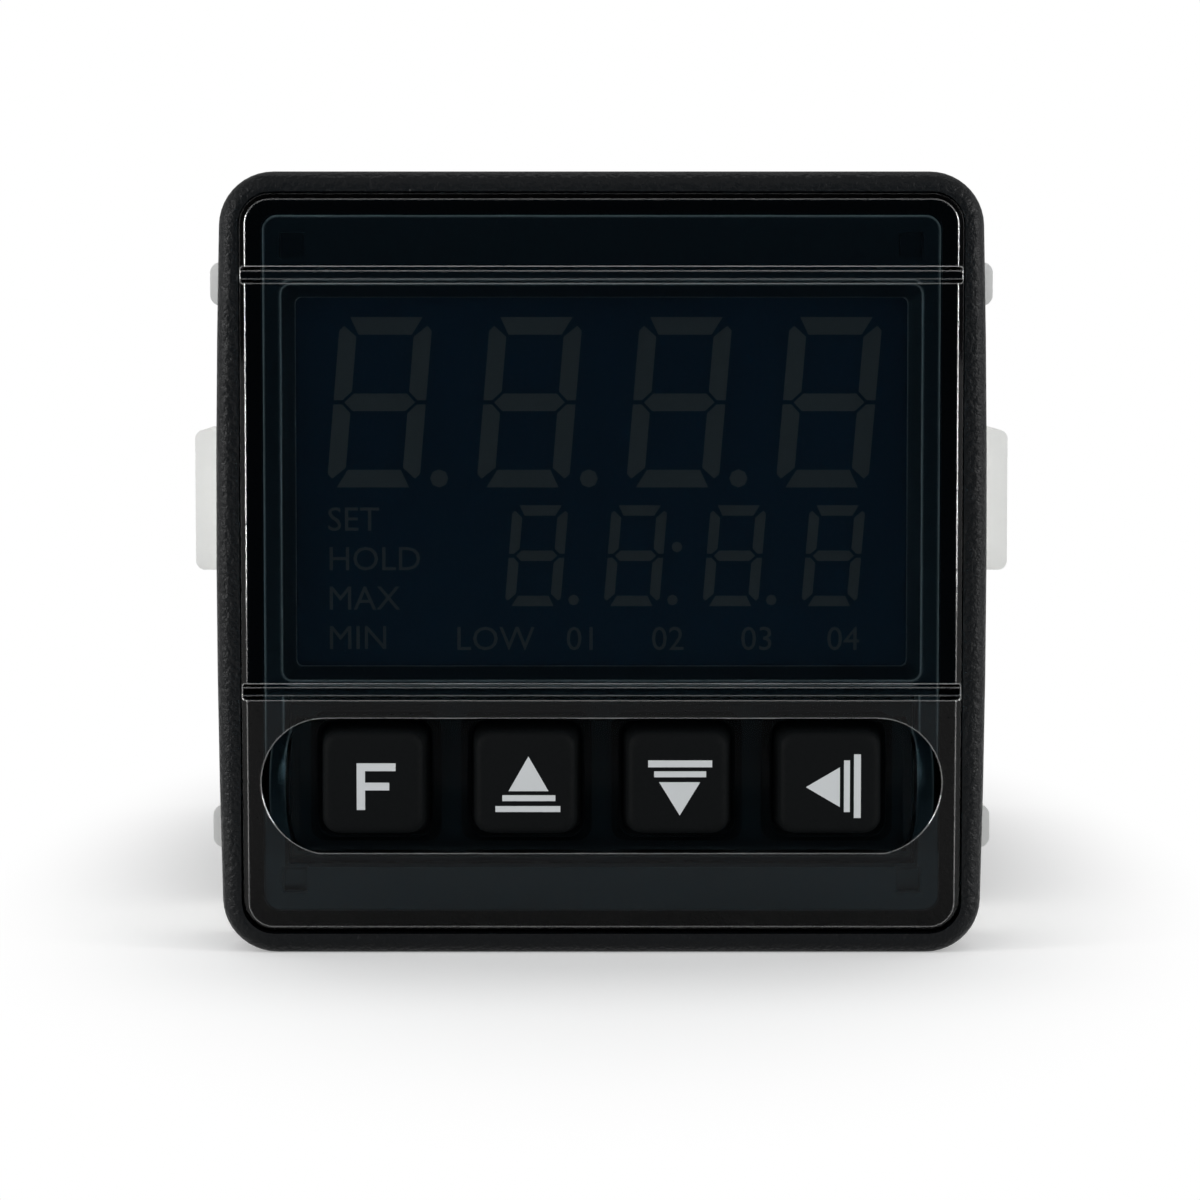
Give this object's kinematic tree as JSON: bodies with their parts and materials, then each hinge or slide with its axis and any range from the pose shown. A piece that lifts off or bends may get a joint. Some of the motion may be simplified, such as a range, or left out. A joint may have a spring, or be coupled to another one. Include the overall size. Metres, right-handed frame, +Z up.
{
  "type": "digital panel indicator",
  "caption": "Square panel-mount digital indicator: smoked display window, push keys in a long recess, slide-on ratchet clamp and rear screw terminals.",
  "frame": {"origin": "centre of the gasket's rear face, where the indicator seats on the front of a panel", "axes": "+X to the viewer's right, +Y into the panel, +Z up; the face looks along -Y"},
  "size_m": [0.0534, 0.0831, 0.0488],
  "materials": {
    "case_plastic": "fine-grained matte black moulding",
    "gasket_rubber": "soft black rubber",
    "smoked_panel": "polished smoked transparent plastic",
    "frame_plastic": "matte black",
    "display_glass": "dark navy display cell, switched off",
    "segment_film": "dim grey electrodes",
    "diffuser_plastic": "milky white",
    "contact_rubber": "striped conductive rubber",
    "led_resin": "pale yellow resin",
    "board_laminate": "green solder mask",
    "board_black": "black solder mask",
    "switch_plastic": "matte black",
    "plunger_plastic": "pale matte plastic",
    "key_rubber": "soft matte black, printed white",
    "terminal_plastic": "matte dark grey",
    "screw_steel": "zinc plated",
    "clamp_brass": "plated brass",
    "relay_plastic": "blue moulded cover",
    "chip_resin": "black resin",
    "core_ferrite": "dark grey ferrite",
    "coil_tape": "yellow tape",
    "capacitor_sleeve": "dark sleeve",
    "varistor_coat": "blue coating",
    "clamp_nylon": "off-white moulding"
  },
  "bodies": {
    "case": {"case": "case_plastic", "panel_gasket": "gasket_rubber", "front_panel": "smoked_panel", "display_frame": "frame_plastic", "lcd_glass": "display_glass", "display_segments": "segment_film", "light_guide": "diffuser_plastic", "contact_strip_upper": "contact_rubber", "contact_strip_lower": "contact_rubber", "backlight_leds": "led_resin", "display_board": "board_black", "switch_bodies": "switch_plastic", "rear_cover": "case_plastic", "main_board": "board_laminate", "power_board": "board_laminate", "pin_header_left": "switch_plastic", "pin_header_right": "switch_plastic", "terminal_block_left": "terminal_plastic", "terminal_block_right": "terminal_plastic", "terminal_screws": "screw_steel", "wire_clamps": "clamp_brass", "relay_upper": "relay_plastic", "relay_lower": "relay_plastic", "processor": "chip_resin", "transformer_core": "core_ferrite", "transformer_coil": "coil_tape", "capacitor": "capacitor_sleeve", "varistor": "varistor_coat"},
    "clamp": {"mounting_clamp": "clamp_nylon"},
    "key_function": {"key_function": "key_rubber", "plunger_function": "plunger_plastic"},
    "key_up": {"key_up": "key_rubber", "plunger_up": "plunger_plastic"},
    "key_down": {"key_down": "key_rubber", "plunger_down": "plunger_plastic"},
    "key_back": {"key_back": "key_rubber", "plunger_back": "plunger_plastic"}
  },
  "joints": [
    {"name": "clamp_slide", "type": "slide", "parent": "case", "child": "clamp", "axis": [0, 1, 0], "range_m": [-0.002, 0.07]},
    {"name": "key_function_press", "type": "slide", "parent": "case", "child": "key_function", "axis": [0, 1, 0], "range_m": [0, 0.0008], "stiffness_N_per_m": 1500},
    {"name": "key_up_press", "type": "slide", "parent": "case", "child": "key_up", "axis": [0, 1, 0], "range_m": [0, 0.0008], "stiffness_N_per_m": 1500},
    {"name": "key_down_press", "type": "slide", "parent": "case", "child": "key_down", "axis": [0, 1, 0], "range_m": [0, 0.0008], "stiffness_N_per_m": 1500},
    {"name": "key_back_press", "type": "slide", "parent": "case", "child": "key_back", "axis": [0, 1, 0], "range_m": [0, 0.0008], "stiffness_N_per_m": 1500}
  ]
}
